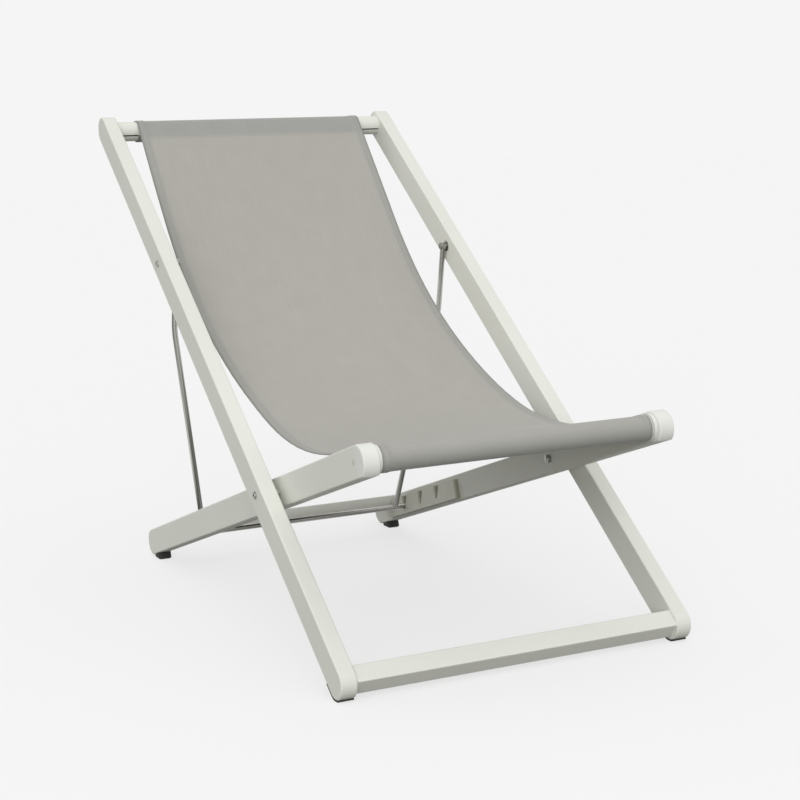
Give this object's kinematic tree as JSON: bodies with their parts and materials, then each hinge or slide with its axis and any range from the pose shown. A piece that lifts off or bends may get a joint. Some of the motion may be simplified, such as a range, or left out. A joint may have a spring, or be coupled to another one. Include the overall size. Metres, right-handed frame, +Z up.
{
  "type": "deck chair",
  "caption": "Folding deck chair: a mesh sling hung between a long back frame and a crossing seat frame, held open by a bent steel prop in notched racks.",
  "frame": {"origin": "on the floor, at the middle of the overall width and depth", "axes": "+X across the chair, to the right seen from the front; +Y from the front to the rear; +Z up"},
  "size_m": [0.5952, 1.0922, 0.8386],
  "materials": {
    "frame_paint": "satin",
    "rod_steel": "polished",
    "fastener_steel": "satin",
    "black_rubber": "matte",
    "sling_mesh": "matte"
  },
  "bodies": {
    "back_frame": {"back_rail_left": "frame_paint", "back_rail_right": "frame_paint", "back_upper_cap_left": "frame_paint", "back_upper_cap_right": "frame_paint", "back_lower_cap_left": "frame_paint", "back_lower_cap_right": "frame_paint", "front_sole_left": "black_rubber", "front_sole_right": "black_rubber", "main_pivot_bolt_left": "fastener_steel", "main_pivot_bolt_right": "fastener_steel", "main_pivot_spacer_left": "fastener_steel", "main_pivot_spacer_right": "fastener_steel", "main_pivot_nut_left": "fastener_steel", "main_pivot_nut_right": "fastener_steel", "prop_pivot_bolt_left": "fastener_steel", "prop_pivot_bolt_right": "fastener_steel", "prop_pivot_spacer_left": "fastener_steel", "prop_pivot_spacer_right": "fastener_steel", "prop_pivot_nut_left": "fastener_steel", "prop_pivot_nut_right": "fastener_steel", "back_bottom_crossbar": "frame_paint", "back_top_bar": "frame_paint", "sling": "sling_mesh"},
    "seat_frame": {"seat_rail_left": "frame_paint", "seat_rail_right": "frame_paint", "seat_front_cap_left": "frame_paint", "seat_front_cap_right": "frame_paint", "seat_rear_cap_left": "frame_paint", "seat_rear_cap_right": "frame_paint", "rear_foot_left": "black_rubber", "rear_foot_right": "black_rubber", "front_tube_collar_left": "frame_paint", "front_tube_collar_right": "frame_paint", "front_tube_screw_left": "fastener_steel", "front_tube_screw_right": "fastener_steel", "rack_left": "frame_paint", "rack_right": "frame_paint", "seat_front_tube": "frame_paint", "seat_rear_crossbar": "frame_paint"},
    "prop": {"prop_leg_left": "rod_steel", "prop_leg_right": "rod_steel", "prop_bar": "rod_steel"}
  },
  "joints": [
    {"name": "main_fold", "type": "hinge", "parent": "back_frame", "child": "seat_frame", "pos_m": [0, -0.21927, 0.24651], "axis": [-1, 0, 0], "range_deg": [0, 119], "deforming": ["sling"]},
    {"name": "prop_swing", "type": "hinge", "parent": "back_frame", "child": "prop", "pos_m": [0, 0.21649, 0.58044], "axis": [-1, 0, 0], "range_deg": [0, 60]}
  ],
  "couplings": [
    {"joint": "prop_swing", "follows": "main_fold", "ratio": 0.494}
  ]
}
